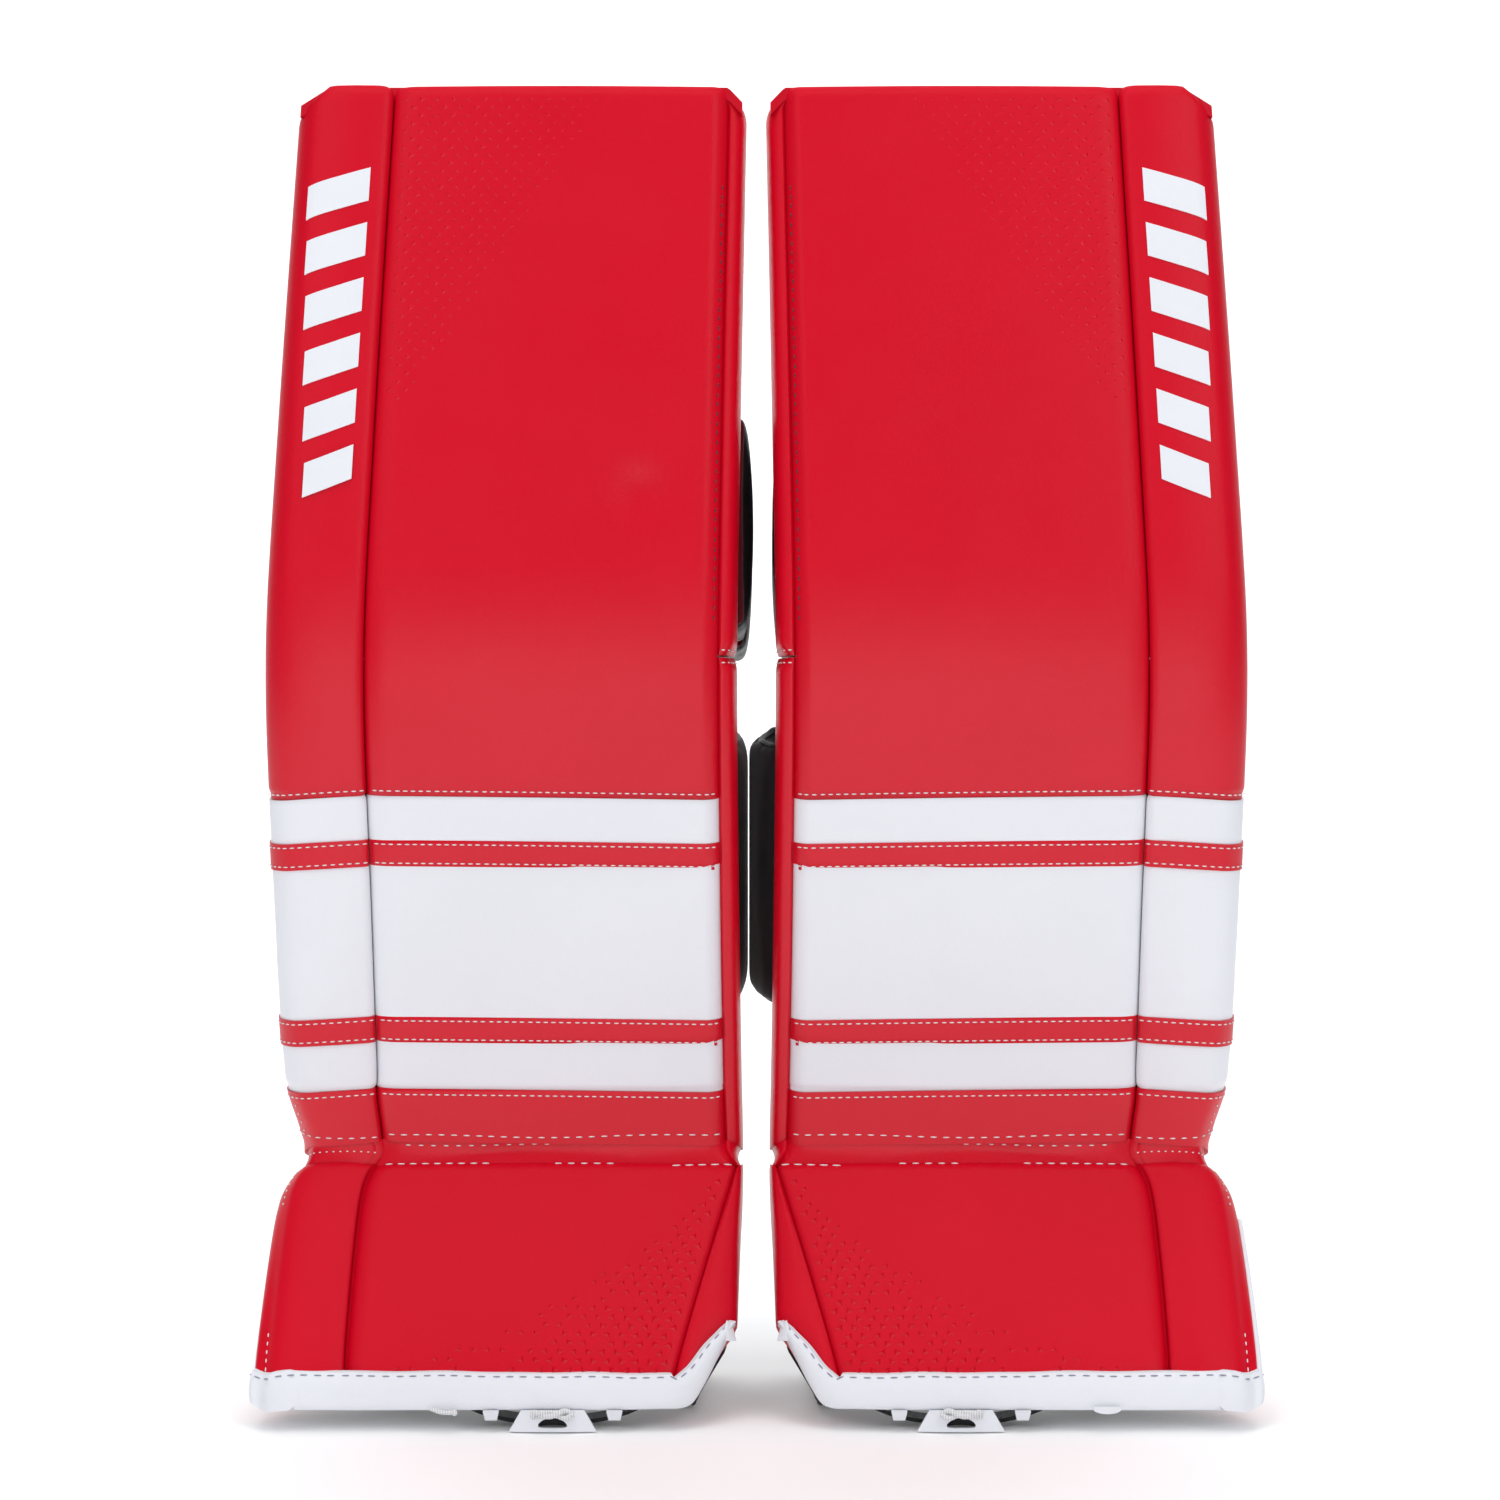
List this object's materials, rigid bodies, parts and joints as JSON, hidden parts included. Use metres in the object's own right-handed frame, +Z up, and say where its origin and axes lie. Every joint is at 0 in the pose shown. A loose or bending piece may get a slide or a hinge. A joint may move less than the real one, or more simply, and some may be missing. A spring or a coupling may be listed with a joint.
{
  "type": "goalie leg pads",
  "caption": "Pair of ice hockey goalie leg pads with flexing knee and boot breaks, padded leg channels, opening calf flaps, straps and toe bridges.",
  "frame": {"origin": "on the floor, under the middle of the pair", "axes": "+X to the wearer's left, faces look along -Y, +Z up"},
  "size_m": [0.578, 0.2722, 0.8148],
  "materials": {
    "red_leather": "satin",
    "white_leather": "satin",
    "red_roll": "satin",
    "white_roll": "satin",
    "black_nylon": "matte",
    "black_webbing": "matte",
    "foam": "matte"
  },
  "bodies": {
    "right_shin": {"right_shin_core": "foam", "right_shin_roll": "white_roll", "right_shin_inner_side": "red_leather", "right_shin_back": "black_nylon", "right_shin_red_panels": "red_leather", "right_shin_white_panel": "white_leather", "right_shin_stripes": "red_leather", "right_calf_wall": "black_nylon"},
    "right_thigh": {"right_thigh_core": "foam", "right_thigh_face": "red_leather", "right_thigh_roll": "red_roll", "right_thigh_inner_side": "red_leather", "right_thigh_back": "black_nylon", "right_knee_riser": "black_nylon", "right_knee_landing": "black_nylon"},
    "right_boot": {"right_boot_core": "foam", "right_boot_roll": "red_roll", "right_boot_face": "red_leather", "right_boot_inner_side": "red_leather", "right_boot_gusset": "red_leather", "right_boot_walls": "black_nylon", "right_toe_binding": "white_leather"},
    "right_knee_wing": {"right_knee_wing": "black_nylon"},
    "right_knee_strap": {"right_knee_strap": "black_webbing"},
    "right_calf_flap_inner": {"right_calf_flap_inner": "black_nylon"},
    "right_calf_flap_outer": {"right_calf_flap_outer": "black_nylon"},
    "right_calf_strap": {"right_calf_strap": "black_webbing"},
    "right_boot_strap": {"right_boot_strap": "black_webbing"},
    "right_toe_bridge": {"right_toe_bridge": "white_leather"},
    "right_toe_strap": {"right_toe_strap": "black_webbing"},
    "left_shin": {"left_shin_core": "foam", "left_shin_roll": "white_roll", "left_shin_inner_side": "red_leather", "left_shin_back": "black_nylon", "left_shin_red_panels": "red_leather", "left_shin_white_panel": "white_leather", "left_shin_stripes": "red_leather", "left_calf_wall": "black_nylon"},
    "left_thigh": {"left_thigh_core": "foam", "left_thigh_face": "red_leather", "left_thigh_roll": "red_roll", "left_thigh_inner_side": "red_leather", "left_thigh_back": "black_nylon", "left_knee_riser": "black_nylon", "left_knee_landing": "black_nylon"},
    "left_boot": {"left_boot_core": "foam", "left_boot_roll": "red_roll", "left_boot_face": "red_leather", "left_boot_inner_side": "red_leather", "left_boot_gusset": "red_leather", "left_boot_walls": "black_nylon", "left_toe_binding": "white_leather"},
    "left_knee_wing": {"left_knee_wing": "black_nylon"},
    "left_knee_strap": {"left_knee_strap": "black_webbing"},
    "left_calf_flap_inner": {"left_calf_flap_inner": "black_nylon"},
    "left_calf_flap_outer": {"left_calf_flap_outer": "black_nylon"},
    "left_calf_strap": {"left_calf_strap": "black_webbing"},
    "left_boot_strap": {"left_boot_strap": "black_webbing"},
    "left_toe_bridge": {"left_toe_bridge": "white_leather"},
    "left_toe_strap": {"left_toe_strap": "black_webbing"}
  },
  "joints": [
    {"name": "right_knee_break", "type": "hinge", "parent": "right_shin", "child": "right_thigh", "pos_m": [0, -0.0667, 0.455], "axis": [-1, 0, 0], "range_deg": [-3, 6], "stiffness_Nm_per_rad": 25},
    {"name": "right_boot_break", "type": "hinge", "parent": "right_shin", "child": "right_boot", "pos_m": [0, 0.03184, 0.13479], "axis": [1, 0, 0], "range_deg": [-10, 10], "stiffness_Nm_per_rad": 120, "deforming": ["right_boot_gusset"]},
    {"name": "right_calf_flap_opening", "type": "hinge", "parent": "right_shin", "child": "right_calf_flap_inner", "pos_m": [-0.019, 0.09627, 0.33244], "axis": [0, 0.1599, -0.9871], "range_deg": [0, 85]},
    {"name": "right_calf_outer_flap_opening", "type": "hinge", "parent": "right_shin", "child": "right_calf_flap_outer", "pos_m": [-0.211, 0.00289, 0.31731], "axis": [0, -0.1599, 0.9871], "range_deg": [0, 34]},
    {"name": "right_calf_strap_opening", "type": "hinge", "parent": "right_calf_flap_inner", "child": "right_calf_strap", "pos_m": [-0.071, 0.10515, 0.33388], "axis": [0, 0.1599, -0.9871], "range_deg": [0, 90]},
    {"name": "right_knee_strap_opening", "type": "hinge", "parent": "right_thigh", "child": "right_knee_strap", "pos_m": [-0.075, 0.09674, 0.52039], "axis": [0, -0.1685, -0.9857], "range_deg": [0, 85]},
    {"name": "right_knee_wing_opening", "type": "hinge", "parent": "right_thigh", "child": "right_knee_wing", "pos_m": [-0.218, -0.00715, 0.53814], "axis": [0, 0.1685, 0.9857], "range_deg": [0, 34]},
    {"name": "right_boot_strap_opening", "type": "hinge", "parent": "right_boot", "child": "right_boot_strap", "pos_m": [-0.039, 0.0454, 0.06], "axis": [0, 0, -1], "range_deg": [0, 85]},
    {"name": "right_toe_bridge_swing", "type": "hinge", "parent": "right_boot", "child": "right_toe_bridge", "pos_m": [-0.119, -0.13043, 0.0126], "axis": [1, 0, 0], "range_deg": [-40, 25]},
    {"name": "right_toe_strap_swing", "type": "hinge", "parent": "right_boot", "child": "right_toe_strap", "pos_m": [-0.119, -0.11693, 0.0126], "axis": [-1, 0, 0], "range_deg": [0, 20], "stiffness_Nm_per_rad": 0.05},
    {"name": "left_knee_break", "type": "hinge", "parent": "left_shin", "child": "left_thigh", "pos_m": [0, -0.0667, 0.455], "axis": [-1, 0, 0], "range_deg": [-3, 6], "stiffness_Nm_per_rad": 25},
    {"name": "left_boot_break", "type": "hinge", "parent": "left_shin", "child": "left_boot", "pos_m": [0, 0.03184, 0.13479], "axis": [1, 0, 0], "range_deg": [-10, 10], "stiffness_Nm_per_rad": 120, "deforming": ["left_boot_gusset"]},
    {"name": "left_calf_flap_opening", "type": "hinge", "parent": "left_shin", "child": "left_calf_flap_inner", "pos_m": [0.019, 0.09627, 0.33244], "axis": [0, -0.1599, 0.9871], "range_deg": [0, 85]},
    {"name": "left_calf_outer_flap_opening", "type": "hinge", "parent": "left_shin", "child": "left_calf_flap_outer", "pos_m": [0.211, 0.00289, 0.31731], "axis": [0, 0.1599, -0.9871], "range_deg": [0, 34]},
    {"name": "left_calf_strap_opening", "type": "hinge", "parent": "left_calf_flap_inner", "child": "left_calf_strap", "pos_m": [0.071, 0.10515, 0.33388], "axis": [0, -0.1599, 0.9871], "range_deg": [0, 90]},
    {"name": "left_knee_strap_opening", "type": "hinge", "parent": "left_thigh", "child": "left_knee_strap", "pos_m": [0.075, 0.09674, 0.52039], "axis": [0, 0.1685, 0.9857], "range_deg": [0, 85]},
    {"name": "left_knee_wing_opening", "type": "hinge", "parent": "left_thigh", "child": "left_knee_wing", "pos_m": [0.218, -0.00715, 0.53814], "axis": [0, -0.1685, -0.9857], "range_deg": [0, 34]},
    {"name": "left_boot_strap_opening", "type": "hinge", "parent": "left_boot", "child": "left_boot_strap", "pos_m": [0.039, 0.0454, 0.06], "axis": [0, 0, 1], "range_deg": [0, 85]},
    {"name": "left_toe_bridge_swing", "type": "hinge", "parent": "left_boot", "child": "left_toe_bridge", "pos_m": [0.119, -0.13043, 0.0126], "axis": [1, 0, 0], "range_deg": [-40, 25]},
    {"name": "left_toe_strap_swing", "type": "hinge", "parent": "left_boot", "child": "left_toe_strap", "pos_m": [0.119, -0.11693, 0.0126], "axis": [-1, 0, 0], "range_deg": [0, 20], "stiffness_Nm_per_rad": 0.05},
    {"name": "pads_apart", "type": "slide", "parent": "right_shin", "child": "left_shin", "axis": [1, 0, 0], "range_m": [0, 0.35]}
  ],
  "couplings": [
    {"joint": "right_calf_outer_flap_opening", "follows": "right_calf_flap_opening", "ratio": 0.4},
    {"joint": "right_knee_wing_opening", "follows": "right_knee_strap_opening", "ratio": 0.4},
    {"joint": "left_calf_outer_flap_opening", "follows": "left_calf_flap_opening", "ratio": 0.4},
    {"joint": "left_knee_wing_opening", "follows": "left_knee_strap_opening", "ratio": 0.4}
  ]
}
